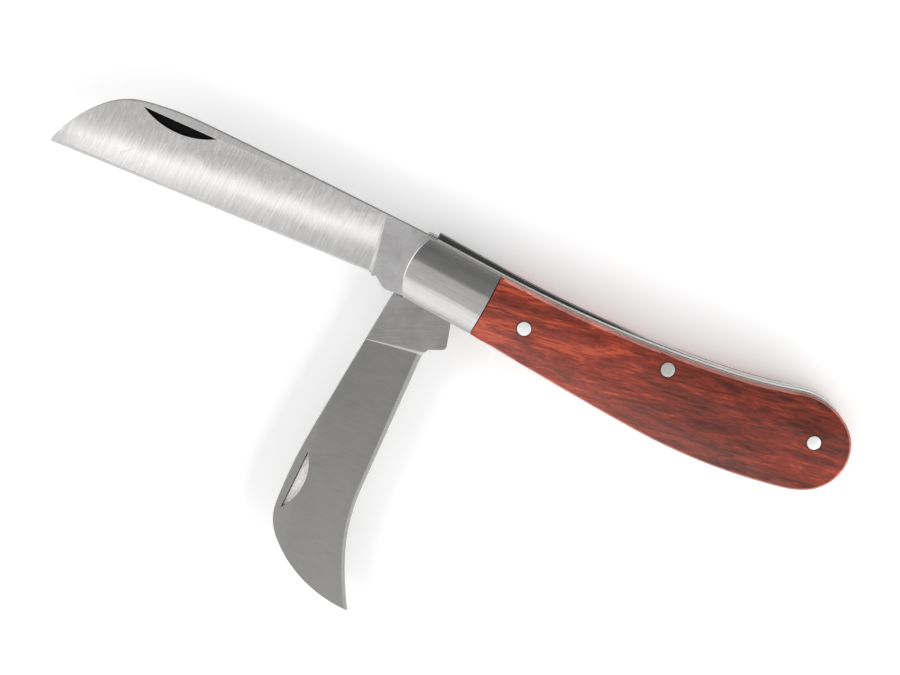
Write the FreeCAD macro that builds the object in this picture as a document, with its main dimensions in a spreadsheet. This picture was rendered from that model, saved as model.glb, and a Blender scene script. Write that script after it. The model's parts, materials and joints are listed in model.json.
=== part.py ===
"""Two-blade grafting and pruning knife: a slip-joint pocket knife with a straight budding blade and a
hooked pruning blade, which share one pivot in the bolsters and have a back spring each.

Millimetres. The knife lies on its lower cover: +Z is through its thickness, +X runs from the pivot to
the butt, +Y is the back of the knife. The origin is on the lower bolster's flat, abreast of the pivot.
At rest the straight blade is fully open and the hooked blade is half open.
"""
import FreeCAD
import Part
import Sketcher
import math
import os

from FreeCAD import Placement, Rotation, Vector

# Driving sizes, in millimetres and degrees.
SIZES = {
    # Layers, from the lower cover up. Bolsters and scales are the covers.
    "cover_thickness": 3.3,
    "liner_thickness": 0.6,
    "slot_width": 2.0,
    "blade_thickness": 1.92,
    # Pins
    "pin_radius": 1.5,
    "running_clearance": 0.03,
    "pivot_x": 0.0, "pivot_y": -1.6,
    "centre_pin_x": 49.8, "centre_pin_y": 6.65,
    "butt_pin_x": 85.1, "butt_pin_y": 7.6,
    "front_rivet_x": 18.7, "front_rivet_y": -0.1,
    # Slip joint: a flat for the open and one for the closed blade, and a round cam between them
    "tang_flat": 4.5,
    "cam_radius": 5.4,
    "tang_notch": -6.15,
    "spring_gap": 0.05,
    "straight_kick_seat": 5.3,
    "hooked_kick_seat": 6.2,
    "nose_heel_x": 4.2,
    "seat_front_x": 8.5,
    "seat_rear_x": 13.5,
    "straight_closed_angle": 176.0,
    "hooked_closed_angle": 177.0,
    "hooked_rest_angle": 90.0,
    # Ground faces of the blades
    "edge_half_thickness": 0.13,
    "bevel_width": 0.55,
    "bevel_half_thickness": 0.22,
    "grind_radius": 130.0,
    "runout_length": 0.9,
    "nick_depth": 0.5,
    # The cutting profile reaches past the edge line, above the blade and beyond the tip
    "profile_overhang": 0.4,
    "bevel_reach": 0.25,
    "bevel_drop": 0.07,
    "profile_headroom": 3.0,
    "runout_rise": 0.9,
    "run_past_tip": 6.0,
    # Domed covers: the crown stands above the middle of the knife and is ground level at the top
    "dome_crown": 6.35,
    "bolster_front_radius": 11.3,
    "bolster_rear_radius": 11.3,
    "scale_front_radius": 11.3,
    "scale_rear_radius": 34.3,
    "scale_fall_x": 66.0,
    "butt_fall": 1.3,
    "fall_width": 60.0,
}

# Named places on the outlines, in the knife's frame.
PLACES = {
    # Liner outline, which the bolsters and scales share
    "bolster_front_top": (-8.05, 7.0),
    "bolster_front": (-9.4, 0.6),
    "bolster_front_bottom": (-6.95, -6.8),
    "joint_top": (9.2, 7.0),
    "joint_bottom": (9.2, -7.0),
    "back_mid": (35.6, 8.14),
    "back_rise": (62.0, 11.6),
    "back_shoulder": (77.7, 15.5),
    "butt_top": (88.6, 14.6),
    "butt_end": (93.8, 6.9),
    "heel": (89.3, -2.2),
    "belly_rear": (84.3, -4.4),
    "belly": (49.7, -8.75),
    # Back springs. The two differ in how far the kick seat is relieved and in the lift of the nose.
    "spring_nose": (-6.1, 7.25),
    "spring_joint": (9.2, 7.25),
    "spring_rise": (62.0, 11.85),
    "spring_shoulder": (77.6, 15.75),
    "spring_butt_top": (88.6, 14.6),
    "spring_tail": (93.3, 4.9),
    "boss_rear": (83.5, 4.9),
    "boss_side": (80.6, 8.2),
    "arch_top": (76.0, 11.8),
    "arch_side": (63.5, 7.1),
    "waist_rear": (53.0, 3.8),
    "waist_front": (20.0, 3.9),
    # Crown lines of the domed covers
    "bolster_crown_front": (-14.0, 0.0),
    "bolster_crown_rear": (14.0, 0.0),
    "scale_crown_front": (8.0, -0.1),
    "scale_crown_rear": (98.0, 4.6),
}

# Places on each blade, with the pivot at (0, 0) and the open blade pointing along -X, edge down.
STRAIGHT_BLADE = {
    "edge_start": (-15.3, -4.15),
    "tip": (-87.9, -11.6),
    "tip_top": (-87.7, -10.4),
    "nose_side": (-85.23, -4.4),
    "nose_top": (-81.4, 0.85),
    "shoulder": (-73.8, 5.3),
    "spine_mid": (-60.7, 7.15),
    "notch_top": (-6.15, 8.85),
    "tang_low": (-8.2, -5.45),
    "kick_front": (-9.9, -5.75),
    "kick": (-10.6, -5.86),
    "kick_rear": (-12.6, -5.15),
    "choil": (-14.1, -4.2),
    "ricasso_foot": (-14.7, -4.7),
    "plunge": (-14.9, -4.4),
    "grind_top": (-17.6, 9.6),
    "nick_rear": (-57.1, 5.55),
    "nick_front": (-73.5, 4.4),
    "nick_low": (-66.5, 2.7),
}
HOOKED_BLADE = {
    "edge_start": (-14.8, -3.0),
    "edge_bend": (-48.1, -5.6),
    "edge_hook": (-64.5, -10.1),
    "tip": (-74.7, -16.1),
    "nose_side": (-72.96, -4.13),
    "nose_top": (-66.5, 6.1),
    "shoulder": (-59.8, 9.4),
    "spine_mid": (-42.2, 10.15),
    "notch_top": (-6.15, 8.75),
    "tang_low": (-5.2, -4.75),
    "kick_front": (-11.0, -6.75),
    "kick": (-11.8, -6.7),
    "kick_rear": (-12.3, -6.3),
    "choil": (-13.7, -3.6),
    "ricasso_foot": (-14.3, -3.4),
    "plunge": (-14.7, -2.6),
    "grind_top": (-17.4, 10.4),
    "nick_rear": (-46.3, 8.65),
    "nick_front": (-60.3, 8.05),
    "nick_low": (-53.8, 6.05),
}

doc = FreeCAD.newDocument("GraftingKnife")
sheet = doc.addObject("Spreadsheet::Sheet", "Sizes")
sheet_row = 0


def put(alias, value):
    """Write one named size to the sheet."""
    global sheet_row
    sheet_row += 1
    sheet.set(f"A{sheet_row}", alias)
    sheet.set(f"B{sheet_row}", str(value))
    sheet.setAlias(f"B{sheet_row}", alias)


def put_places(prefix, places):
    """Write each place as two sizes, NAME_x and NAME_y."""
    for name, (x, y) in places.items():
        put(f"{prefix}{name}_x", x)
        put(f"{prefix}{name}_y", y)


for size_name, size in SIZES.items():
    put(size_name, size)
put_places("", PLACES)
put_places("straight_", STRAIGHT_BLADE)
put_places("hooked_", HOOKED_BLADE)
doc.recompute()

# Heights of the layers, worked out from the sheet.
HALF_THICKNESS = "(Sizes.cover_thickness + 1.5 * Sizes.liner_thickness + Sizes.slot_width)"
LEVEL = {
    "lower_liner": "Sizes.cover_thickness",
    "lower_slot": "Sizes.cover_thickness + Sizes.liner_thickness",
    "centre_liner": "Sizes.cover_thickness + Sizes.liner_thickness + Sizes.slot_width",
    "upper_slot": "Sizes.cover_thickness + 2 * Sizes.liner_thickness + Sizes.slot_width",
    "upper_liner": "Sizes.cover_thickness + 2 * Sizes.liner_thickness + 2 * Sizes.slot_width",
    "upper_cover": "Sizes.cover_thickness + 3 * Sizes.liner_thickness + 2 * Sizes.slot_width",
    "top": f"2 * {HALF_THICKNESS}",
}


def amount(expression):
    """The number that an expression on the sheet stands for."""
    return float(sheet.evalExpression(str(expression)))


def place(name, prefix=""):
    """The two expressions of a named place."""
    return f"Sizes.{prefix}{name}_x", f"Sizes.{prefix}{name}_y"


def spot(where):
    """A place as a vector."""
    return Vector(amount(where[0]), amount(where[1]), 0)


class Outline:
    """A run of lines and arcs in one sketch. Every corner is held by sizes from the sheet."""

    def __init__(self, sketch, start):
        self.sketch, self.start, self.last = sketch, start, start
        self.first_end = self.last_end = None
        self.heading = None

    def hold(self, geometry, end, where):
        for kind, expression in zip(("DistanceX", "DistanceY"), where):
            index = self.sketch.addConstraint(
                Sketcher.Constraint(kind, -1, 1, geometry, end, amount(expression)))
            self.sketch.setExpression(f"Constraints[{index}]", expression)

    def join(self, geometry, start_end, stop_end, where, tangent=False):
        """Fasten a new piece to the last one and hold its far end."""
        if self.last_end is None:
            self.first_end = (geometry, start_end)
            self.hold(geometry, start_end, self.start)
        else:
            kind = "Tangent" if tangent else "Coincident"
            self.sketch.addConstraint(Sketcher.Constraint(kind, *self.last_end, geometry, start_end))
        self.last_end = (geometry, stop_end)
        if where is self.start:
            self.sketch.addConstraint(Sketcher.Constraint("Coincident", *self.last_end, *self.first_end))
        else:
            self.hold(geometry, stop_end, where)
        self.last = where

    def line(self, *stops):
        """Straight sides to each place in turn."""
        for where in stops:
            a, b = spot(self.last), spot(where)
            geometry = self.sketch.addGeometry(Part.LineSegment(a, b))
            self.join(geometry, 1, 2, where)
            self.heading = math.atan2(b.y - a.y, b.x - a.x)
        return self

    def add_arc(self, where, turn, tangent):
        """An arc that turns by the given angle between its ends."""
        a, b = spot(self.last), spot(where)
        chord = b - a
        radius = chord.Length / (2 * math.sin(abs(turn) / 2))
        middle = math.atan2(chord.y, chord.x)
        side = 1 if turn > 0 else -1
        away = middle - turn / 2 + side * math.pi / 2
        centre = a + Vector(math.cos(away), math.sin(away), 0) * radius
        ends = [math.atan2(p.y - centre.y, p.x - centre.x) for p in (a, b)]
        if side < 0:
            ends.reverse()
        while ends[1] <= ends[0]:
            ends[1] += 2 * math.pi
        circle = Part.Circle(centre, Vector(0, 0, 1), radius)
        geometry = self.sketch.addGeometry(Part.ArcOfCircle(circle, ends[0], ends[1]))
        start_end, stop_end = (1, 2) if side > 0 else (2, 1)
        self.join(geometry, start_end, stop_end, where, tangent)
        self.heading = middle + turn / 2
        return geometry

    def arc(self, via, where):
        """An arc that passes through a place on its way."""
        a, m, b = spot(self.last), spot(via), spot(where)
        first, second = m - a, b - m
        turn = 2 * math.remainder(
            math.atan2(second.y, second.x) - math.atan2(first.y, first.x), 2 * math.pi)
        geometry = self.add_arc(where, turn, False)
        point = self.sketch.addGeometry(Part.Point(m), True)
        self.hold(point, 1, via)
        self.sketch.addConstraint(Sketcher.Constraint("PointOnObject", point, 1, geometry))
        return self

    def bend(self, *stops):
        """Arcs to each place in turn, each flowing on from the piece before it."""
        for where in stops:
            chord = spot(where) - spot(self.last)
            half = math.remainder(math.atan2(chord.y, chord.x) - self.heading, 2 * math.pi)
            self.add_arc(where, 2 * half, True)
        return self

    def close(self):
        """A straight side back to the start."""
        return self.line(self.start)

    def close_by_arc(self, via):
        """An arc through a place, back to the start."""
        return self.arc(via, self.start)


def hole(sketch, where, radius):
    """A round hole, held by its centre and radius."""
    geometry = sketch.addGeometry(Part.Circle(spot(where), Vector(0, 0, 1), amount(radius)))
    Outline(sketch, where).hold(geometry, 3, where)
    index = sketch.addConstraint(Sketcher.Constraint("Radius", geometry, amount(radius)))
    sketch.setExpression(f"Constraints[{index}]", radius)


def plane_of(body, role):
    """One of a body's own origin planes."""
    return next(o for o in body.Origin.OriginFeatures if o.Role == role)


def body_sketch(body, name, role="XY_Plane", offset=None):
    """A sketch on a body's own plane, moved by an offset placement."""
    sketch = body.newObject("Sketcher::SketchObject", name)
    sketch.AttachmentSupport = [(plane_of(body, role), "")]
    sketch.MapMode = "FlatFace"
    if offset is not None:
        sketch.AttachmentOffset = offset
    return sketch


def new_body(label, level=None):
    """A named body, raised to one of the layers."""
    body = doc.addObject("PartDesign::Body", label)
    body.Label = label
    if level is not None:
        body.setExpression("Placement.Base.z", LEVEL[level])
    return body


def pad(body, sketch, height, midplane=False):
    """A pad of a sketch."""
    feature = body.newObject("PartDesign::Pad", f"{body.Name}_Pad")
    feature.Profile = sketch
    if midplane:
        feature.SideType = "Symmetric"
    feature.setExpression("Length", height)
    return feature


PIN_HOLES = [place("pivot"), place("front_rivet"), place("centre_pin"), place("butt_pin")]
PIN_RADIUS = "Sizes.pin_radius"


def handle_outline(sketch):
    """The whole outline of the handle, as the liners have it."""
    Outline(sketch, place("bolster_front_top")).line(place("joint_top")).bend(
        place("back_rise"), place("back_shoulder"), place("butt_top"), place("butt_end"),
        place("heel"), place("belly_rear"), place("belly"), place("joint_bottom"),
    ).line(place("bolster_front_bottom")).close_by_arc(place("bolster_front"))


def make_liner(label):
    """A liner: the plain sheet between a cover and a slot, or between the two slots."""
    body = new_body(label, label)
    sketch = body_sketch(body, f"{label}_outline")
    handle_outline(sketch)
    for where in PIN_HOLES:
        if label == "centre_liner" and where is PIN_HOLES[1]:
            continue
        hole(sketch, where, PIN_RADIUS)
    pad(body, sketch, "Sizes.liner_thickness")
    return body


def make_spring(label, level, seat, lifted):
    """A back spring: a nose that presses on the tang, a waist round the centre pin and an arched tail.

    The nose of a lifted spring rides on the round cam, so its front part is turned up about the centre
    pin. seat is how far above the pivot the underside is cut behind the nose, where the closed blade's
    kick rests.
    """
    lift = "(Sizes.cam_radius - Sizes.tang_flat)" if lifted else "0"

    def raised(x, y):
        """A place on the front part, lifted in proportion to its distance from the centre pin."""
        return x, f"{y} + {lift} * (Sizes.centre_pin_x - {x}) / (Sizes.centre_pin_x - Sizes.pivot_x)"

    nose_under = "Sizes.pivot_y + Sizes.tang_flat + Sizes.spring_gap"
    seat_under = f"Sizes.pivot_y + {seat}"

    body = new_body(label, level)
    sketch = body_sketch(body, f"{label}_outline")
    (Outline(sketch, raised(*place("spring_nose"))).line(raised(*place("spring_joint")))
     .bend(place("spring_rise"), place("spring_shoulder"), place("spring_butt_top"), place("spring_tail"))
     .line(place("boss_rear"), place("boss_side"))
     .arc(place("arch_top"), place("arch_side"))
     .line(place("waist_rear"), raised(*place("waist_front")),
           raised("Sizes.seat_rear_x", seat_under), raised("Sizes.seat_front_x", seat_under),
           raised("Sizes.nose_heel_x", nose_under), raised("Sizes.spring_nose_x", nose_under))
     .close())
    for where in PIN_HOLES[2:]:
        hole(sketch, where, PIN_RADIUS)
    pad(body, sketch, "Sizes.slot_width")
    return body


def make_blade(label, prefix, level, hooked, angle):
    """A blade in its open attitude about the pivot, then turned to its place in the knife."""
    body = new_body(label)

    def at(name):
        return place(name, prefix)

    flat, cam = "Sizes.tang_flat", "Sizes.cam_radius"
    half_flat = f"sqrt({cam} * {cam} - {flat} * {flat})"
    lean = f"(90 - Sizes.{prefix}closed_angle)"
    closed_rear = (f"{flat} * cos{lean} - {half_flat} * sin{lean}",
                   f"{flat} * sin{lean} + {half_flat} * cos{lean}")
    closed_front = (f"{flat} * cos{lean} + {half_flat} * sin{lean}",
                    f"{flat} * sin{lean} - {half_flat} * cos{lean}")

    sketch = body_sketch(body, f"{label}_outline")
    path = Outline(sketch, at("edge_start"))
    if hooked:
        path.line(at("edge_bend")).bend(at("edge_hook"), at("tip"))
        path.arc(at("nose_side"), at("nose_top"))
    else:
        path.line(at("tip"), at("tip_top")).arc(at("nose_side"), at("nose_top"))
    path.bend(at("shoulder"), at("spine_mid"), at("notch_top"))
    path.line(("Sizes.tang_notch", flat), (half_flat, flat))
    path.arc((cam, "0"), closed_rear)
    path.line(closed_front, at("tang_low"), at("kick_front"))
    path.arc(at("kick"), at("kick_rear"))
    path.line(at("choil"), at("ricasso_foot"))
    path.close()
    hole(sketch, ("0", "0"), f"{PIN_RADIUS} + Sizes.running_clearance")
    pad(body, sketch, "Sizes.blade_thickness", midplane=True)

    # Hollow-ground sides: one profile across the blade follows the edge from the plunge line.
    foot, top = spot(at("plunge")), spot(at("grind_top"))
    half = "Sizes.blade_thickness / 2"
    across = f"({(top - foot).Length:.6f})"
    tilt = math.atan2(-(top.x - foot.x), top.y - foot.y)

    def profile(name, along, raise_by):
        """The air beside the hollow face, on a plane that stands on the plunge line."""
        step = Vector(-math.cos(tilt), -math.sin(tilt), 0) * along
        turn = Rotation(Vector(0, 0, 1), math.degrees(tilt)) * Rotation(Vector(1, 1, 1), 120)
        section = body.newObject("Sketcher::SketchObject", f"{label}_{name}")
        section.AttachmentSupport = [(plane_of(body, "XY_Plane"), "")]
        section.MapMode = "FlatFace"
        section.AttachmentOffset = Placement(foot + step, turn)
        rise = f" + {raise_by}"
        edge = ("-Sizes.profile_overhang", f"Sizes.edge_half_thickness - Sizes.bevel_drop{rise}")
        bevel = ("Sizes.bevel_width + Sizes.bevel_reach", f"Sizes.bevel_half_thickness{rise}")
        crest = (across, f"{half}{rise}")
        ceiling = f"{half} + Sizes.profile_headroom"
        sag = f"{across} * {across} / (8 * Sizes.grind_radius)"
        waist = (f"({across} + Sizes.bevel_width) / 2",
                 f"({half} + Sizes.bevel_half_thickness) / 2 - {sag}{rise}")
        (Outline(section, edge).line(bevel).arc(waist, crest)
         .line((across, ceiling), ("-Sizes.profile_overhang", ceiling)).close())
        return section

    runout_top = profile("runout_start", 0, "Sizes.runout_rise")
    runout_end = profile("runout_end", amount("Sizes.runout_length"), "0")
    guide = body_sketch(body, f"{label}_edge_line")
    step = Vector(-math.cos(tilt), -math.sin(tilt), 0) * amount("Sizes.runout_length")
    begin = (str(foot.x + step.x), str(foot.y + step.y))
    line = Outline(guide, begin)
    if hooked:
        line.line(at("edge_bend")).bend(at("edge_hook"), at("tip"))
    else:
        line.line(at("tip"))
    last = spot(at("tip"))
    beyond = last + Vector(math.cos(line.heading), math.sin(line.heading), 0) * amount("Sizes.run_past_tip")
    line.line((str(beyond.x), str(beyond.y)))
    doc.recompute()

    runout = body.newObject("PartDesign::SubtractiveLoft", f"{label}_runout")
    runout.Profile = runout_top
    runout.Sections = [runout_end]
    runout.Ruled = True
    grind = body.newObject("PartDesign::SubtractivePipe", f"{label}_grind")
    grind.Profile = runout_end
    grind.Spine = (guide, [f"Edge{n + 1}" for n in range(len(guide.Geometry))])
    grind.Transition = "Transformed"
    doc.recompute()
    mirror = body.newObject("PartDesign::Mirrored", f"{label}_other_side")
    mirror.Originals = [runout, grind]
    mirror.MirrorPlane = (plane_of(body, "XY_Plane"), [""])
    body.Tip = mirror

    # Nail nick, cut into the upper side near the spine.
    nick = body_sketch(body, f"{label}_nick", offset=Placement(Vector(0, 0, amount(half)), Rotation()))
    Outline(nick, at("nick_rear")).line(at("nick_front")).close_by_arc(at("nick_low"))
    cut = body.newObject("PartDesign::Pocket", f"{label}_nick_cut")
    cut.Profile = nick
    cut.setExpression("Length", "Sizes.nick_depth")
    body.Tip = cut

    body.Placement = Placement(
        Vector(*(amount(v) for v in (*place("pivot"), f"{LEVEL[level]} + Sizes.slot_width / 2"))),
        Rotation(Vector(0, 0, 1), angle))
    return body


def make_dome(name, cover):
    """The lens-shaped solid that rounds a pair of covers over.

    A cone lies along the crown line of the upper cover, so that its radius grows with the handle's
    width. The lens is what it shares with its mirror image.
    """
    front, rear = place(f"{cover}_crown_front"), place(f"{cover}_crown_rear")
    run = spot(rear) - spot(front)
    crown = f"{HALF_THICKNESS} + Sizes.dome_crown"
    base_front, base_rear = (f"{crown} - Sizes.{cover}_{end}_radius" for end in ("front", "rear"))
    sketch = doc.addObject("Sketcher::SketchObject", f"{name}_profile")
    (Outline(sketch, ("0", base_front))
     .line(("0", crown), (str(run.Length), crown), (str(run.Length), base_rear)).close())
    upright = Rotation(Vector(0, 0, 1), math.degrees(math.atan2(run.y, run.x))) * Rotation(Vector(1, 0, 0), 90)
    sketch.Placement = Placement(spot(front), upright)
    cone = doc.addObject("Part::Revolution", f"{name}_cone")
    cone.Source = sketch
    cone.AxisLink = (sketch, ["Edge4"])
    cone.Angle = 360
    cone.Solid = True
    return common(name, cone, mirrored(f"{name}_cone_below", cone))


def make_fall():
    """The knife's side profile as a solid: level covers that fall away towards the butt."""
    sketch = doc.addObject("Sketcher::SketchObject", "fall_profile")
    level, low = HALF_THICKNESS, f"{HALF_THICKNESS} - Sizes.butt_fall"
    start, end = "Sizes.scale_fall_x", "Sizes.scale_crown_rear_x"
    front = "Sizes.bolster_crown_front_x"
    (Outline(sketch, (front, f"-{level}")).line((front, level), (start, level)).bend((end, low))
     .line((end, f"-({low})"), (start, f"-{level}")).close())
    sketch.Placement = Placement(Vector(0, 0, amount(HALF_THICKNESS)), Rotation(Vector(1, 0, 0), 90))
    solid = doc.addObject("Part::Extrusion", "fall_solid")
    solid.Base = sketch
    solid.DirMode = "Normal"
    solid.Solid = True
    solid.Symmetric = True
    solid.setExpression("LengthFwd", "Sizes.fall_width")
    return solid


def extruded(name, sketch, level, height):
    """A plain extrusion of a sketch from one of the layers."""
    solid = doc.addObject("Part::Extrusion", name)
    solid.Base = sketch
    solid.DirMode = "Custom"
    solid.Dir = Vector(0, 0, 1)
    solid.Solid = True
    solid.setExpression("LengthFwd", height)
    solid.setExpression("Placement.Base.z", level)
    return solid


def common(label, first, second):
    """What two solids share."""
    both = doc.addObject("Part::Common", label)
    both.Base, both.Tool = first, second
    both.Label = label
    return both


def mirrored(label, solid):
    """The same piece on the knife's other side."""
    other = doc.addObject("Part::Mirroring", label)
    other.Source = solid
    other.Normal = Vector(0, 0, 1)
    other.setExpression("Base.z", HALF_THICKNESS)
    other.Label = label
    return other


def make_bolster(label, dome):
    """A bolster: a steel cap over the pivot end, with a bowed front."""
    sketch = doc.addObject("Sketcher::SketchObject", f"{label}_outline")
    (Outline(sketch, place("bolster_front_top"))
     .line(place("joint_top"), place("joint_bottom"), place("bolster_front_bottom"))
     .close_by_arc(place("bolster_front")))
    hole(sketch, PIN_HOLES[0], PIN_RADIUS)
    return common(label, extruded(f"{label}_block", sketch, LEVEL["upper_cover"], "Sizes.cover_thickness"), dome)


def make_scale(label, dome):
    """A wooden scale: the swelling handle cover behind the bolster."""
    sketch = doc.addObject("Sketcher::SketchObject", f"{label}_outline")
    (Outline(sketch, place("joint_top")).arc(place("back_mid"), place("back_rise"))
     .bend(place("back_shoulder"), place("butt_top"), place("butt_end"), place("heel"),
           place("belly_rear"), place("belly"), place("joint_bottom"))
     .close())
    for where in PIN_HOLES[1:]:
        hole(sketch, where, PIN_RADIUS)
    return common(label, extruded(f"{label}_block", sketch, LEVEL["upper_cover"], "Sizes.cover_thickness"), dome)


def make_pin(label, where, level, height, dome):
    """A pin, ground flush with the cover it comes out of."""
    sketch = doc.addObject("Sketcher::SketchObject", f"{label}_circle")
    hole(sketch, where, PIN_RADIUS)
    return common(label, extruded(f"{label}_rod", sketch, level, height), dome)


def build():
    """Make every piece of the knife, in the order in which it is put together."""
    bolster_dome = make_dome("bolster_dome", "bolster")
    scale_dome = common("scale_dome", make_dome("scale_lens", "scale"), make_fall())
    pieces = [make_liner(label) for label in ("lower_liner", "centre_liner", "upper_liner")]
    pieces += [
        make_spring("pruning_back_spring", "lower_slot", "Sizes.hooked_kick_seat", lifted=True),
        make_spring("main_back_spring", "upper_slot", "Sizes.straight_kick_seat", lifted=False),
        make_blade("pruning_blade", "hooked_", "lower_slot", True, amount("Sizes.hooked_rest_angle")),
        make_blade("main_blade", "straight_", "upper_slot", False, 0),
    ]
    upper_bolster = make_bolster("upper_bolster", bolster_dome)
    upper_scale = make_scale("upper_scale", scale_dome)
    upper_rivet = make_pin("upper_scale_rivet", PIN_HOLES[1], LEVEL["upper_liner"],
                           "Sizes.cover_thickness + Sizes.liner_thickness", scale_dome)
    pieces += [
        upper_bolster, mirrored("lower_bolster", upper_bolster),
        upper_scale, mirrored("lower_scale", upper_scale),
        upper_rivet, mirrored("lower_scale_rivet", upper_rivet),
        make_pin("pivot_pin", PIN_HOLES[0], "0", LEVEL["top"], bolster_dome),
        make_pin("centre_pin", PIN_HOLES[2], "0", LEVEL["top"], scale_dome),
        make_pin("butt_pin", PIN_HOLES[3], "0", LEVEL["top"], scale_dome),
    ]
    doc.recompute()
    return pieces


def check(pieces):
    """Stop if any object failed or any piece isn't a valid solid."""
    failed = [o.Name for o in doc.Objects if {"Invalid", "Error"} & set(o.State)]
    bad = [p.Label for p in pieces
           if p.Shape.isNull() or not p.Shape.isValid() or len(p.Shape.Solids) != 1]
    if failed or bad:
        raise RuntimeError(f"failed objects {failed}, bad shapes {bad}")


all_pieces = build()
check(all_pieces)
os.makedirs("parts", exist_ok=True)
for piece in all_pieces:
    piece.Shape.exportStep(os.path.join("parts", f"{piece.Label}.step"))
    box = piece.Shape.BoundBox
    print(f"{piece.Label:22s} {piece.Shape.Volume:9.1f} mm3  x {box.XMin:7.2f} {box.XMax:7.2f}"
          f"  y {box.YMin:7.2f} {box.YMax:7.2f}  z {box.ZMin:6.2f} {box.ZMax:6.2f}")
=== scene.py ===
"""A two-blade grafting and pruning knife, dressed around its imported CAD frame.

The CAD nodes give every piece its shape and place. Each class below is one sub-assembly: it copies its
nodes' meshes, breaks their edges, and gives the copies their materials.
"""

import json
import logging
import math
from collections.abc import Callable
from dataclasses import dataclass, field
from enum import Enum, IntEnum

import bmesh
import bpy
from mathutils import Matrix, Vector

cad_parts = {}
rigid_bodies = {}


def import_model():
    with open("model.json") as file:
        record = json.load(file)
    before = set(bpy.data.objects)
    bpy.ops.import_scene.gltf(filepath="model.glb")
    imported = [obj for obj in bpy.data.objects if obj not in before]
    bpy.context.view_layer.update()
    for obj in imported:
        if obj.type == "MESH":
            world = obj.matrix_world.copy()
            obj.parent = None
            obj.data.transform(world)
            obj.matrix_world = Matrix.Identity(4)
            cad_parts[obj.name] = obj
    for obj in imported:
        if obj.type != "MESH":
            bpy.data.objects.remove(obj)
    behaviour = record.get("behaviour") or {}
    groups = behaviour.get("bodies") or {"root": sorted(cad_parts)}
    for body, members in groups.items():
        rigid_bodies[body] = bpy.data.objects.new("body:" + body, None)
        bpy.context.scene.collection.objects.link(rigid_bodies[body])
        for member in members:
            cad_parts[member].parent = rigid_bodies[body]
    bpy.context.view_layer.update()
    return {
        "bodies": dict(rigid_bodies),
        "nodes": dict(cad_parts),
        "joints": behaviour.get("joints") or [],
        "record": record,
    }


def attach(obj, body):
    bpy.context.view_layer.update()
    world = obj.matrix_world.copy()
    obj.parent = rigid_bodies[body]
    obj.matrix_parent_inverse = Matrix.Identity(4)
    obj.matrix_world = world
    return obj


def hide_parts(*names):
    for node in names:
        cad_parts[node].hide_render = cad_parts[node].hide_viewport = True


LOG = logging.getLogger("knife")
MM = 0.001

Socket = bpy.types.NodeSocket
Pair = tuple[float, float]
Triple = tuple[float, float, float]

# Where the pins go through the handle, in millimetres.
PIVOT: Pair = (0.0, -1.6)
SCALE_PINS: tuple[Pair, ...] = ((18.7, -0.1), (49.8, 6.65), (85.1, 7.6))
PIN_RADIUS = 1.5
# Where the bolsters meet the scales, along X, in millimetres.
COVER_JOINT = 9.2

# Parts of a noise's range that hold nearly all, and most, of its values.
MOST = (0.25, 0.75)
MIDDLE = (0.3, 0.7)


class Slot(Enum):
    """The record's material slots."""

    BLADE = "blade_steel"
    SPRING = "spring_steel"
    LINER = "liner_metal"
    BOLSTER = "bolster_metal"
    WOOD = "rosewood"
    PIN = "pin_metal"


class Body(Enum):
    """The CAD bodies that pieces ride on."""

    HANDLE = "handle"
    MAIN = "main_blade"
    PRUNING = "pruning_blade"


class Grain(Enum):
    """The way in which a surface was brushed or grew, as stretches along X, Y and Z."""

    ALONG = (0.03, 1.0, 1.0)
    ACROSS = (1.0, 0.03, 1.0)
    NONE = (1.0, 1.0, 1.0)


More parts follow.
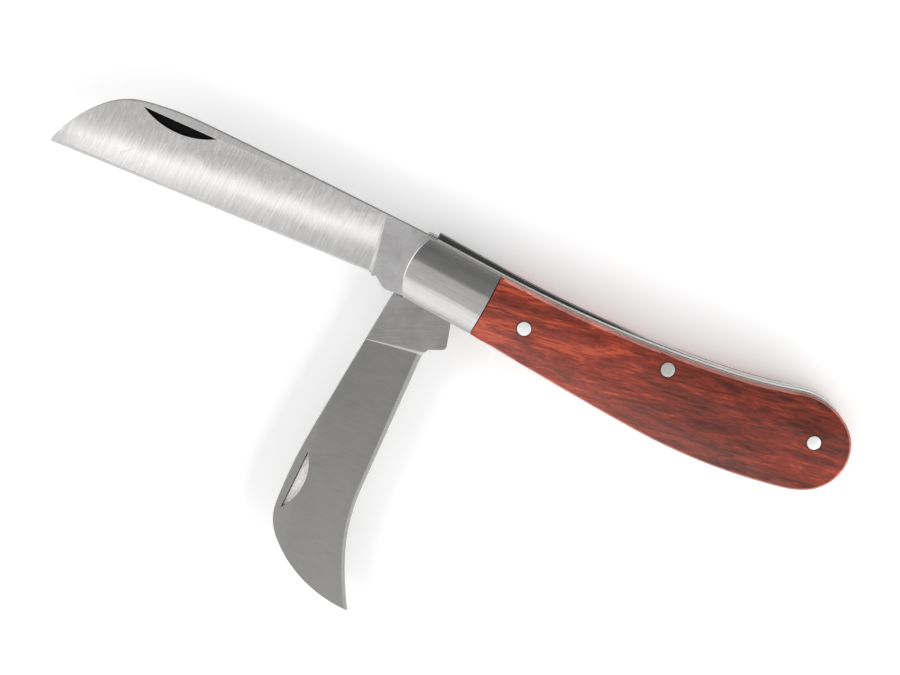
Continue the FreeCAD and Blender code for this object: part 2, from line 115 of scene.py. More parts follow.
class Shading:
    """A material's node tree, with short calls that add and link its nodes."""

    def __init__(self, name: str) -> None:
        """Start a material with one Principled shader.

        Args:
            name: the material's name.
        """
        self.material = bpy.data.materials.new(name)
        self.material.use_nodes = True
        self.tree = self.material.node_tree
        self.shader = self.tree.nodes["Principled BSDF"]
        self.coordinates = self.tree.nodes.new("ShaderNodeTexCoord")

    def node(self, kind: str, **inputs: object) -> bpy.types.Node:
        """Add a node and fill its inputs.

        Args:
            kind: the node's Blender type.
            **inputs: socket values or linked sockets, with spaces in names written as underscores.

        Returns:
            The new node.
        """
        made = self.tree.nodes.new(kind)
        for name, value in inputs.items():
            self.feed(made.inputs[name.replace("_", " ")], value)
        return made

    def feed(self, socket: Socket, value: object) -> None:
        """Link a socket into another, or set its value.

        Args:
            socket: the input to fill.
            value: an output socket, or a plain value.
        """
        if isinstance(value, Socket):
            self.tree.links.new(value, socket)
        else:
            socket.default_value = value

    def mapped(self, scale: Triple, turn: float = 0.0,
               move: Triple = (0.0, 0.0, 0.0)) -> Socket:
        """Object coordinates, turned about Z and then scaled.

        Args:
            scale: repeats per metre along each axis.
            turn: the turn about Z, in radians.
            move: a shift, in scaled units.

        Returns:
            The mapped vector.
        """
        vector = self.coordinates.outputs["Object"]
        if turn:
            turned = self.node("ShaderNodeMapping", Vector=vector, Rotation=(0.0, 0.0, turn))
            vector = turned.outputs["Vector"]
        return self.node("ShaderNodeMapping", Vector=vector, Scale=scale, Location=move).outputs["Vector"]

    def noise(self, vector: Socket, scale: float, detail: float = 4.0,
              roughness: float = 0.55, distortion: float = 0.0) -> Socket:
        """Fractal noise.

        Args:
            vector: where to read it.
            scale: its frequency.
            detail: its number of octaves.
            roughness: how strong the fine octaves are.
            distortion: how much it swirls.

        Returns:
            The noise, from 0 to 1.
        """
        return self.node("ShaderNodeTexNoise", Vector=vector, Scale=scale, Detail=detail,
                         Roughness=roughness, Distortion=distortion).outputs["Fac"]

    def ramp(self, factor: Socket,
             stops: list[tuple[float, Triple]]) -> Socket:
        """A colour ramp.

        Args:
            factor: what picks the colour.
            stops: places from 0 to 1, each with its colour.

        Returns:
            The colour.
        """
        made = self.node("ShaderNodeValToRGB", Fac=factor)
        elements = made.color_ramp.elements
        while len(elements) < len(stops):
            elements.new(0.5)
        for element, (position, colour) in zip(elements, stops):
            element.position = position
            element.color = (*colour, 1.0)
        return made.outputs["Color"]

    def remap(self, value: Socket, low: float, high: float,
              to_low: float = 0.0, to_high: float = 1.0) -> Socket:
        """A value spread from one range to another, and held within it.

        Args:
            value: what to spread.
            low: the start of the range it comes from.
            high: the end of the range it comes from.
            to_low: the start of the new range.
            to_high: the end of the new range.

        Returns:
            The new value.
        """
        made = self.node("ShaderNodeMapRange", Value=value)
        for name, number in zip(("From Min", "From Max", "To Min", "To Max"), (low, high, to_low, to_high)):
            made.inputs[name].default_value = number
        return made.outputs["Result"]

    def maths(self, operation: str, first: object, second: object = 0.0) -> Socket:
        """One arithmetic step.

        Args:
            operation: the Math node's operation.
            first: the first operand.
            second: the second operand.

        Returns:
            The result.
        """
        made = self.tree.nodes.new("ShaderNodeMath")
        made.operation = operation
        self.feed(made.inputs[0], first)
        self.feed(made.inputs[1], second)
        return made.outputs[0]

    def mix(self, factor: object, first: object, second: object, blend: str = "MIX") -> Socket:
        """Two colours mixed.

        Args:
            factor: the share of the second.
            first: the first colour.
            second: the second colour.
            blend: the way of mixing.

        Returns:
            The mixed colour.
        """
        made = self.tree.nodes.new("ShaderNodeMix")
        made.data_type = "RGBA"
        made.blend_type = blend
        self.feed(made.inputs["Factor"], factor)
        self.feed(made.inputs["A"], first)
        self.feed(made.inputs["B"], second)
        return next(s for s in made.outputs if s.type == "RGBA")

    def grey_times(self, shade: Socket, tone: Triple) -> Socket:
        """A colour made lighter or darker.

        Args:
            shade: what to multiply it by.
            tone: the colour.

        Returns:
            The colour, multiplied.
        """
        grey = self.node("ShaderNodeCombineColor", Red=shade, Green=shade, Blue=shade).outputs["Color"]
        return self.mix(1.0, grey, (*tone, 1.0), "MULTIPLY")

    def scratches(self, turn: float) -> Socket:
        """Sparse hairline scratches that cross a surface at two slants.

        Args:
            turn: the first slant about Z, in radians.

        Returns:
            The mask, from 0 to 1.
        """
        stretch, crossing, faint, full = (60.0, 2600.0, 60.0), 1.9, 0.70, 0.76
        masks = []
        for slant, shift in ((turn, 3.0), (turn - crossing, 11.0)):
            hairs = self.noise(self.mapped(stretch, slant, (shift, 0.0, 0.0)), 1.0, 1.0)
            masks.append(self.remap(hairs, faint, full))
        return self.maths("MAXIMUM", *masks)

    def position(self, axis: str) -> Socket:
        """One of the object coordinates, in metres."""
        made = self.node("ShaderNodeSeparateXYZ", Vector=self.coordinates.outputs["Object"])
        return made.outputs[axis]

    def band(self, value: Socket, middle: object, half_width: float,
             fade: float) -> Socket:
        """A mask that is 1 within a band and fades out beside it.

        Args:
            value: what is compared with the band.
            middle: the band's middle, as a number or a socket.
            half_width: its half-width.
            fade: the width of the fade.

        Returns:
            The mask, from 0 to 1.
        """
        away = self.maths("ABSOLUTE", self.maths("SUBTRACT", value, middle))
        return self.remap(away, half_width, half_width + fade, 1.0, 0.0)

    def bump(self, height: Socket, depth: float, strength: float = 1.0) -> Socket:
        """A bump from a height.

        Args:
            height: the height, from 0 to 1.
            depth: what a height of 1 stands for, in metres.
            strength: how much of it shows.

        Returns:
            The normal.
        """
        return self.node("ShaderNodeBump", Height=height, Distance=depth, Strength=strength).outputs["Normal"]

    def set(self, **inputs: object) -> None:
        """Fill sockets of the Principled shader, as node() does."""
        for name, value in inputs.items():
            self.feed(self.shader.inputs[name.replace("_", " ")], value)


@dataclass(frozen=True)
class Fade:
    """How bright a finish is at two places along an axis, which are in millimetres."""

    axis: str
    low: float
    high: float
    at_low: float
    at_high: float = 1.0

    def shade(self, look: Shading) -> Socket:
        """The brightness at each place.

        Args:
            look: the node tree that it is part of.

        Returns:
            What to multiply the tone by.
        """
        return look.remap(look.position(self.axis), self.low * MM, self.high * MM, self.at_low, self.at_high)


@dataclass(frozen=True)
class SteelFinish:
    """A brushed steel: its tone, gloss, brush marks and wear.

    Marks, grain and clouds are counted in repeats per metre.
    """

    name: str
    tone: Triple
    roughness: float
    grain: Grain
    turn: float = 0.0
    mark_depth: float = 0.25e-6
    streak: float = 0.06
    blotch: float = 0.03
    scratches: float = 0.10
    metallic: float = 1.0
    fade: Fade | None = None
    fine_marks: float = 7000.0
    broad_marks: float = 2800.0
    broad_depth: float = 0.15
    clouds: float = 190.0
    rough_spread: float = 0.03
    scratch_turn: float = 1.1
    scratch_area: Pair = (0.42, 0.62)
    scratch_rough: float = 0.1

    def marks(self, look: Shading, repeats: float, octaves: float) -> Socket:
        """Brush marks along the grain.

        Args:
            look: the node tree that they are part of.
            repeats: how many there are to a metre, across the grain.
            octaves: how many sizes they come in.

        Returns:
            The noise, from 0 to 1.
        """
        scale = tuple(repeats * stretch for stretch in self.grain.value)
        return look.noise(look.mapped(scale, self.turn), 1.0, octaves, 0.6)

    def shading(self) -> Shading:
        """Build the brushed metal.

        Returns:
            The material's node tree, for a finish to add to.
        """
        look = Shading(self.name)
        fine, broad = self.marks(look, self.fine_marks, 2.0), self.marks(look, self.broad_marks, 3.0)
        cloud = look.noise(look.mapped((self.clouds,) * 3), 1.0, 6.0, 0.62)
        brushed = look.maths("ADD", look.remap(fine, *MOST, -self.streak, self.streak),
                             look.remap(broad, *MOST, -self.streak, self.streak))
        shade = look.maths("ADD", brushed, look.remap(cloud, *MIDDLE, 1.0 - self.blotch, 1.0 + self.blotch))
        scratch = look.maths("MULTIPLY", look.scratches(self.scratch_turn),
                             look.remap(cloud, *self.scratch_area))
        shade = look.maths("SUBTRACT", shade, look.maths("MULTIPLY", scratch, self.scratches))
        # The fade makes the tone lighter or darker along one axis. On the blades and the bolster this is
        # painted light and shade.
        if self.fade is not None:
            shade = look.maths("MULTIPLY", shade, self.fade.shade(look))
        rough = look.maths("ADD", look.remap(fine, *MOST, self.roughness - self.rough_spread,
                                             self.roughness + self.rough_spread),
                           look.maths("MULTIPLY", scratch, self.scratch_rough))
        height = look.maths("ADD", fine, look.maths("MULTIPLY", broad, self.broad_depth))
        look.set(Base_Color=look.grey_times(shade, self.tone), Metallic=self.metallic, Roughness=rough,
                 Normal=look.bump(height, self.mark_depth))
        return look

    def material(self) -> bpy.types.Material:
        """The finished material."""
        return self.shading().material


@dataclass(frozen=True)
class RosewoodFinish:
    """Varnished rosewood, with its grain slanted along the handle and a drying crack behind the bolster.

    Bands, streaks and pores are counted in repeats per metre. Places and widths are in millimetres.
    """

    name: str = "rosewood_varnished"
    dark: Triple = (0.058, 0.016, 0.012)
    middle: Triple = (0.150, 0.032, 0.022)
    red: Triple = (0.290, 0.046, 0.028)
    light: Triple = (0.540, 0.094, 0.046)
    slant: float = -0.22
    pore: Triple = (0.030, 0.008, 0.006)
    bands: Triple = (48.0, 270.0, 100.0)
    streaks: Triple = (230.0, 1700.0, 900.0)
    pores: Triple = (600.0, 4600.0, 3000.0)
    band_share: float = 0.55
    pore_strength: float = 0.65
    grain_depth: float = 12e-6
    # Lighter and redder towards the front of the handle: partly the wood's own colour, partly painted light
    # where the front is lit brighter.
    ruddy_and_lit_front: Fade = Fade("X", 34.0, 56.0, 0.22, -0.05)
    crack_start: Pair = (COVER_JOINT, 0.6)
    crack_end: Pair = (16.5, 1.9)
    crack_half_width: float = 0.02
    crack_fade: float = 0.11
    crack_wander: float = 0.25
    crack_tail: float = 2.5
    grime_start: float = 0.12
    grime_end: float = 0.42
    grime_strength: float = 0.7

    def crack(self, look: Shading) -> Socket:
        """The mask of the drying crack.

        Args:
            look: the node tree that it is part of.

        Returns:
            The mask, from 0 to 1.
        """
        (x0, y0), (x1, y1) = ((x * MM, y * MM) for x, y in (self.crack_start, self.crack_end))
        along, across = look.position("X"), look.position("Y")
        slope, aside = (y1 - y0) / (x1 - x0), self.crack_wander * MM
        line = look.maths("ADD", look.maths("MULTIPLY", look.maths("SUBTRACT", along, x0), slope), y0)
        wander = look.remap(look.noise(look.mapped((700.0, 40.0, 40.0)), 1.0, 3.0), *MIDDLE, -aside, aside)
        near = look.band(across, look.maths("ADD", line, wander), self.crack_half_width * MM,
                         self.crack_fade * MM)
        return look.maths("MULTIPLY", near, look.remap(along, x1 - self.crack_tail * MM, x1, 1.0, 0.0))

    def pin_shade(self, look: Shading) -> Socket:
        """The mask of the grime that has gathered round the pins.

        Args:
            look: the node tree that it is part of.

        Returns:
            The mask, from 0 to 1.
        """
        along, across = look.position("X"), look.position("Y")
        worst = None
        for x, y in SCALE_PINS:
            away = look.maths("SQRT", look.maths(
                "ADD", look.maths("POWER", look.maths("SUBTRACT", along, x * MM), 2.0),
                look.maths("POWER", look.maths("SUBTRACT", across, y * MM), 2.0)))
            ring = look.remap(away, (PIN_RADIUS + self.grime_start) * MM, (PIN_RADIUS + self.grime_end) * MM,
                              1.0, 0.0)
            worst = ring if worst is None else look.maths("MAXIMUM", worst, ring)
        return worst

    def material(self) -> bpy.types.Material:
        """Build the wood: wide bands of colour, fine streaks and open pores under a satin coat.

        Returns:
            The material.
        """
        look = Shading(self.name)
        bands = look.noise(look.mapped(self.bands, self.slant), 1.0, 5.0, 0.66, 1.2)
        streaks = look.noise(look.mapped(self.streaks, self.slant), 1.0, 4.0, 0.68, 0.5)
        pores = look.noise(look.mapped(self.pores, self.slant), 1.0, 2.0, 0.7)
        figure = look.maths("ADD", look.maths("MULTIPLY", bands, self.band_share),
                            look.maths("MULTIPLY", streaks, 1.0 - self.band_share))
        tone = look.ramp(look.maths("ADD", look.remap(figure, 0.34, 0.66), self.ruddy_and_lit_front.shade(look)), [
            (0.0, self.dark), (0.36, self.middle), (0.70, self.red), (1.0, self.light)])
        pore, open_grain = look.remap(pores, 0.58, 0.72), (*self.pore, 1.0)
        tone = look.mix(look.maths("MULTIPLY", pore, self.pore_strength), tone, open_grain)
        crack = self.crack(look)
        grime = look.maths("MULTIPLY", self.pin_shade(look), self.grime_strength)
        tone = look.mix(look.maths("MAXIMUM", crack, grime), tone, open_grain)
        rough = look.maths("ADD", look.remap(streaks, *MIDDLE, 0.30, 0.42),
                           look.maths("MULTIPLY", pore, 0.15))
        height = look.maths("SUBTRACT", look.maths("MULTIPLY", streaks, 0.5),
                            look.maths("ADD", pore, look.maths("MULTIPLY", crack, 6.0)))
        look.set(Base_Color=tone, Roughness=rough, Normal=look.bump(height, self.grain_depth, 0.6),
                 Coat_Weight=0.15, Coat_Roughness=0.25, Specular_IOR_Level=0.35)
        return look.material


@dataclass(frozen=True)
class PaintedNickFinish:
    """The floor of a nail nick, with its tone painted as light: near-black as painted shade, near-white as a
    painted reflection, and a painted shadow along one side where one is given.
    """

    name: str
    tone: Triple
    metallic: float
    roughness: float
    gleam: float = 0.5
    shadow_side: tuple[Pair, Pair] | None = None
    shadow_half_width: float = 0.22
    shadow_fade: float = 0.16
    shadow_strength: float = 0.93

    def painted_shadow(self, look: Shading) -> Socket:
        """The mask of the painted shadow in the nick's corner.

        Args:
            look: the node tree that it is part of.

        Returns:
            The mask, from 0 to 1.
        """
        (x0, y0), (x1, y1) = self.shadow_side
        run = math.hypot(x1 - x0, y1 - y0)
        across = look.maths("SUBTRACT", look.maths("MULTIPLY", look.position("X"), (y1 - y0) / run),
                            look.maths("MULTIPLY", look.position("Y"), (x1 - x0) / run))
        return look.band(across, (x0 * (y1 - y0) - y0 * (x1 - x0)) / run * MM, self.shadow_half_width * MM,
                         self.shadow_fade * MM)

    def material(self) -> bpy.types.Material:
        """Build it: a rough skin with pits.

        Returns:
            The material.
        """
        look = Shading(self.name)
        pits = look.noise(look.mapped((2400.0, 2400.0, 2400.0)), 1.0, 3.0, 0.7)
        shade = look.remap(pits, *MIDDLE, 0.7, 1.2)
        # A painted shadow darkens a line along the nick's side.
        if self.shadow_side is not None:
            painted_shadow = look.maths("MULTIPLY", self.painted_shadow(look), self.shadow_strength)
            shade = look.maths("MULTIPLY", shade, look.maths("SUBTRACT", 1.0, painted_shadow))
        look.set(Base_Color=look.grey_times(shade, self.tone),
                 Metallic=self.metallic, Roughness=self.roughness, Specular_IOR_Level=self.gleam,
                 Normal=look.bump(pits, 20e-6))
        return look.material


@dataclass(frozen=True)
class Finishes:
    """Every finish of the knife."""

    # blade_satin is painted up to 12 % lighter towards the tip, where the blade is lit brighter: a painted
    # highlight.
    main_blade: SteelFinish = SteelFinish(
        "blade_satin", (0.70, 0.69, 0.685), 0.14, Grain.ACROSS, streak=0.09, blotch=0.015, scratches=0.04,
        mark_depth=0.04e-6, fade=Fade("X", -88.0, -52.0, 1.12))
    # hooked_blade_satin is painted up to 30 % lighter towards the tip of the hooked blade: a painted
    # highlight.
    pruning_blade: SteelFinish = SteelFinish(
        "hooked_blade_satin", (0.345, 0.341, 0.332), 0.30, Grain.ALONG, streak=0.05, mark_depth=0.12e-6,
        scratches=0.03, fade=Fade("Y", -76.0, -34.0, 1.30))
    tang: SteelFinish = SteelFinish(
        "tang_blanked", (0.66, 0.65, 0.65), 0.42, Grain.NONE, streak=0.08, blotch=0.14, mark_depth=2e-6)
    hooked_tang: SteelFinish = SteelFinish(
        "hooked_tang_blanked", (0.42, 0.415, 0.41), 0.38, Grain.ALONG, -0.5, streak=0.10, blotch=0.14,
        mark_depth=1e-6)
    main_honed: SteelFinish = SteelFinish("honed_edge", (0.80, 0.80, 0.80), 0.30, Grain.ACROSS)
    pruning_honed: SteelFinish = SteelFinish("hooked_honed_edge", (0.56, 0.56, 0.55), 0.40, Grain.ALONG)
    # The blades' steep side walls are painted near-black: painted shade.
    wall_painted_shade: SteelFinish = SteelFinish("spine_painted_shade", (0.12, 0.12, 0.12), 0.40, Grain.ALONG)
    # The straight blade's plunge ramp is painted dark as shade; the hooked blade's ramp is painted light as a
    # highlight.
    main_plunge: SteelFinish = SteelFinish("plunge_painted_shade", (0.30, 0.30, 0.29), 0.35, Grain.ACROSS)
    pruning_plunge: SteelFinish = SteelFinish(
        "plunge_painted_highlight", (0.62, 0.62, 0.61), 0.50, Grain.ALONG, metallic=0.6)
    main_spring: SteelFinish = SteelFinish("spring_back", (0.68, 0.67, 0.65), 0.42, Grain.ALONG)
    # This spring's tone falls to 22 % in front of x = 36 mm, so that its front end is darker.
    pruning_spring: SteelFinish = SteelFinish(
        "spring_back_darker_front", (0.64, 0.64, 0.62), 0.42, Grain.ALONG, fade=Fade("X", 36.0, 44.0, 0.22))
    liner: SteelFinish = SteelFinish("liner_plate", (0.66, 0.65, 0.63), 0.42, Grain.ALONG)
    # bolster_brushed is painted darker towards its upper, spine side, down to a quarter of its tone: painted
    # shade.
    bolster: SteelFinish = SteelFinish(
        "bolster_brushed", (0.64, 0.63, 0.625), 0.38, Grain.ALONG, streak=0.10, mark_depth=0.2e-6,
        fade=Fade("Y", 3.8, 8.2, 1.0, 0.25))
    pin: SteelFinish = SteelFinish(
        "pin_ground", (0.90, 0.90, 0.90), 0.45, Grain.NONE, streak=0.03, metallic=0.35)
    dull_pin: SteelFinish = SteelFinish(
        "pin_dull", (0.66, 0.66, 0.65), 0.50, Grain.NONE, streak=0.04, metallic=0.6)
    # The straight blade's nick is painted black: painted shade in the recess.
    painted_shade_nick: PaintedNickFinish = PaintedNickFinish("nick_painted_shade", (0.002, 0.002, 0.002), 0.0, 0.7, 0.1)
    # The hooked blade's nick is painted near-white as a reflection, with a painted shadow along its spine
    # side.
    painted_highlight_nick: PaintedNickFinish = PaintedNickFinish(
        "nick_painted_highlight", (0.92, 0.88, 0.85), 0.1, 0.5, 0.5, ((-8.65, -47.9), (-8.05, -61.9)))
    wood: RosewoodFinish = RosewoodFinish()
    # The scales' rounded rim is lighter pink wood: partly wear, partly a painted highlight along the edge.
    worn_and_lit_wood: RosewoodFinish = RosewoodFinish(
        "rosewood_worn_and_lit_rim", (0.200, 0.062, 0.046), (0.370, 0.112, 0.084), (0.540, 0.165, 0.120),
        (0.690, 0.230, 0.170))


@dataclass(frozen=True)
class EdgeBreak:
    """How wide an edge is rounded over, and which edges are."""

    width: float
    segments: int = 2
    corner: float = 28.0
    where: Callable[[Vector], bool] = lambda point: True
    clamp: bool = True
    material: int = -1

    def applies(self, edge: bmesh.types.BMEdge) -> bool:
        """Whether an edge is a corner in the right place.

        Args:
            edge: the edge.

        Returns:
            True if it is to be rounded.
        """
        if not edge.is_manifold or edge.calc_face_angle(0.0) < math.radians(self.corner):
            return False
        return all(self.where(vertex.co / MM) for vertex in edge.verts)

    def cut(self, built: bmesh.types.BMesh) -> None:
        """Round the edges over.

        Args:
            built: the mesh, in metres.
        """
        bmesh.ops.bevel(built, geom=[e for e in built.edges if self.applies(e)], offset=self.width * MM,
                        offset_type="OFFSET", affect="EDGES", segments=self.segments, profile=0.5,
                        material=self.material, clamp_overlap=self.clamp, loop_slide=self.clamp)


class Workshop:
    """Finishes CAD nodes: a merged, smooth copy with small edge breaks stands for each."""

    merge_distance: float = 2e-6
    flat_angle: float = math.radians(0.15)

    def __init__(self, frame: dict[str, object]) -> None:
        """Keep the frame.
        """
        self.nodes = frame["nodes"]

    def finished_copy(self, node: str, breaks: list[EdgeBreak], crisp: float,
                      even: bool = False) -> bpy.types.Object:
        """A copy of a CAD node with merged vertices and broken edges.

        Args:
            node: the CAD node's name.
            breaks: the edge breaks, which are cut one after another.
            crisp: the angle, in degrees, above which shading shows an edge.
            even: whether to shade by face area.

        Returns:
            The new object.
        """
        mesh = self.nodes[node].data.copy()
        mesh.name = f"{node}_finished"
        mesh.materials.clear()
        built = bmesh.new()
        built.from_mesh(mesh)
        low, high = ([pick(v.co[axis] for v in built.verts) for axis in range(3)] for pick in (min, max))
        bmesh.ops.remove_doubles(built, verts=built.verts, dist=self.merge_distance)
        bmesh.ops.dissolve_limit(built, angle_limit=self.flat_angle, verts=built.verts, edges=built.edges)
        for edge_break in breaks:
            edge_break.cut(built)
        for vertex in built.verts:
            vertex.co = [min(max(place, least), most) for place, least, most in zip(vertex.co, low, high)]
        bmesh.ops.triangulate(built, faces=[f for f in built.faces if len(f.verts) > 4])
        built.to_mesh(mesh)
        built.free()
        mesh.polygons.foreach_set("use_smooth", [True] * len(mesh.polygons))
        mesh.set_sharp_from_angle(angle=math.radians(crisp))
        if even:
            self.even_out(mesh, crisp)
        piece = bpy.data.objects.new(f"{node}_finished", mesh)
        bpy.context.scene.collection.objects.link(piece)
        return piece

    @staticmethod
    def even_out(mesh: bpy.types.Mesh, crisp: float) -> None:
        """Shade each corner by the large faces round it, so that slivers leave no mark.

        Args:
            mesh: the mesh.
            crisp: the angle, in degrees, above which shading shows an edge.
        """
        least = math.cos(math.radians(crisp))
        around: dict[int, list[bpy.types.MeshPolygon]] = {}
        for face in mesh.polygons:
            for index in face.vertices:
                around.setdefault(index, []).append(face)
        normals = []
        for face in mesh.polygons:
            for index in face.vertices:
                near = (f for f in around[index] if f.normal.dot(face.normal) > least)
                normals.append(sum((f.normal * f.area for f in near), Vector()).normalized())
        mesh.normals_split_custom_set(normals)

    def stand_for(self, node: str, body: Body, slot: Slot, material: bpy.types.Material,
                  breaks: list[EdgeBreak], crisp: float = 28.0, even: bool = False) -> bpy.types.Object:
        """Replace a CAD node with its finished copy.

        Args:
            node: the CAD node.
            body: the body that it rides on.
            slot: its material slot; not used.
            material: its material.
            breaks: see finished_copy.
            crisp: see finished_copy.
            even: see finished_copy.

        Returns:
            The piece.
        """
        piece = self.finished_copy(node, breaks, crisp, even)
        piece.data.materials.append(material)
        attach(piece, body.value)
        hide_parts(node)
        LOG.info("%s: %d faces on %s", piece.name, len(piece.data.polygons), body.value)
        return piece


class BladeFace(IntEnum):
    """The parts of a blade that are finished differently, as the order of its materials."""

    GROUND = 0
    TANG = 1
    HONED = 2
    NICK = 3
    WALL = 4
    PLUNGE = 5


@dataclass(frozen=True)
class BladeShape:
    """What the finish of a blade needs to know of its form, in its own frame.

    The pivot is at (0, 0) and the open blade points along -X, with its edge down. Places are in
    millimetres.
    """

    node: str
    body: Body
    turn: float
    plunge_foot: Pair
    plunge_top: Pair
    edge: tuple[Pair, ...]
    nick: tuple[Pair, ...]
    nick_floor: float
    crisp: float
    bevel_width: float = 1.2
    bevel_slope: float = math.radians(6.7)
    bevel_reach: float = 0.5
    ramp_lean: float = 0.3
    nick_margin: float = 0.05
    nick_rise: Pair = (-0.05, 0.25)

    def local(self, point: Vector) -> Pair:
        """A place on the piece, in the blade's own frame.

        Args:
            point: the place at rest, in metres.

        Returns:
            X and Y in millimetres.
        """
        x, y = point.x / MM - PIVOT[0], point.y / MM - PIVOT[1]
        c, s = math.cos(-self.turn), math.sin(-self.turn)
        return c * x - s * y, s * x + c * y

    def is_tang(self, at: Pair) -> bool:
        """Whether a place lies behind the plunge line.

        Args:
            at: the place, in the blade's own frame.

        Returns:
            True for the tang and the ricasso.
        """
        (x0, y0), (x1, y1) = self.plunge_foot, self.plunge_top
        return (at[0] - x0) * (y1 - y0) - (at[1] - y0) * (x1 - x0) > 0.0

    def is_honed(self, at: Pair, rise: float) -> bool:
        """Whether a face lies on the bevel along the edge, which is steeper than the grind.

        Args:
            at: the face's middle, in the blade's own frame.
            rise: the Z of its normal.

        Returns:
            True for the honed bevel.
        """
        if abs(rise) > math.cos(self.bevel_slope):
            return False
        for (x0, y0), (x1, y1) in zip(self.edge, self.edge[1:]):
            run = math.hypot(x1 - x0, y1 - y0)
            along = ((at[0] - x0) * (x1 - x0) + (at[1] - y0) * (y1 - y0)) / run
            away = abs((at[0] - x0) * (y1 - y0) - (at[1] - y0) * (x1 - x0)) / run
            if -self.bevel_reach < along < run + self.bevel_reach and away < self.bevel_width:
                return True
        return False

    def is_plunge(self, normal: Vector) -> bool:
        """Whether a face is the ramp between the ricasso and the grind.

        Args:
            normal: the face's normal.

        Returns:
            True for a face that leans along the blade.
        """
        return normal.x * math.cos(self.turn) + normal.y * math.sin(self.turn) < -self.ramp_lean

    def is_nick(self, at: Pair, height: float) -> bool:
        """Whether a place lies in the nail nick.

        Args:
            at: the place, in the blade's own frame.
            height: its height above the floor of the knife's frame, in millimetres.

        Returns:
            True for the nick's floor and walls.
        """
        (x0, y0), (x1, y1) = self.nick[:2]
        above = ((at[0] - x0) * (y1 - y0) - (at[1] - y0) * (x1 - x0)) / math.hypot(x1 - x0, y1 - y0)
        within = min(x0, x1) < at[0] < max(x0, x1) and at[1] > self.nick[2][1] - self.nick_margin
        least, most = self.nick_rise
        return above < self.nick_margin and within and least < height - self.nick_floor < most


@dataclass
class Blades:
    """The two blades."""

    workshop: Workshop
    finishes: Finishes
    edge_break: EdgeBreak = EdgeBreak(0.05)
    wall_slope: float = 0.3

    def build(self) -> None:
        """Finish both blades."""
        straight = BladeShape(
            "main_blade", Body.MAIN, 0.0, (-15.8, -4.4), (-18.5, 9.6), ((-15.3, -4.15), (-87.9, -11.6)),
            ((-57.1, 5.55), (-73.5, 4.4), (-66.5, 2.7)), 7.96, 5.0)
        hooked = BladeShape(
            "pruning_blade", Body.PRUNING, math.radians(90.0), (-15.6, -2.6), (-18.3, 10.4),
            ((-14.8, -3.0), (-48.1, -5.6), (-56.6, -7.3), (-64.5, -10.1), (-70.0, -13.0), (-74.7, -16.1)),
            ((-46.3, 8.65), (-60.3, 8.05), (-53.8, 6.05)), 5.36, 7.5)
        looks, wall_painted_shade = self.finishes, self.finishes.wall_painted_shade.material()
        for shape, finish, tang, honed, nick, plunge in (
                (straight, looks.main_blade, looks.tang, looks.main_honed, looks.painted_shade_nick,
                 looks.main_plunge),
                (hooked, looks.pruning_blade, looks.hooked_tang, looks.pruning_honed, looks.painted_highlight_nick,
                 looks.pruning_plunge)):
            piece = self.workshop.stand_for(shape.node, shape.body, Slot.BLADE, finish.material(),
                                            [self.edge_break], shape.crisp)
            for material in (tang.material(), honed.material(), nick.material(), wall_painted_shade, plunge.material()):
                piece.data.materials.append(material)
            self.sort_faces(piece.data, shape)

    def sort_faces(self, mesh: bpy.types.Mesh, shape: BladeShape) -> None:
        """Give the tang, the honed bevel, the nick and the walls their own materials.

        Args:
            mesh: the blade's mesh.
            shape: the blade's form.
        """
        for face in mesh.polygons:
            at = shape.local(face.center)
            if shape.is_nick(at, face.center.z / MM):
                face.material_index = BladeFace.NICK
            # Steep side faces take the wall material, which is painted shade.
            elif abs(face.normal.z) < self.wall_slope:
                face.material_index = BladeFace.WALL
            elif shape.is_plunge(face.normal):
                face.material_index = BladeFace.PLUNGE
            elif shape.is_tang(at):
                face.material_index = BladeFace.TANG
            elif shape.is_honed(at, face.normal.z):
                face.material_index = BladeFace.HONED


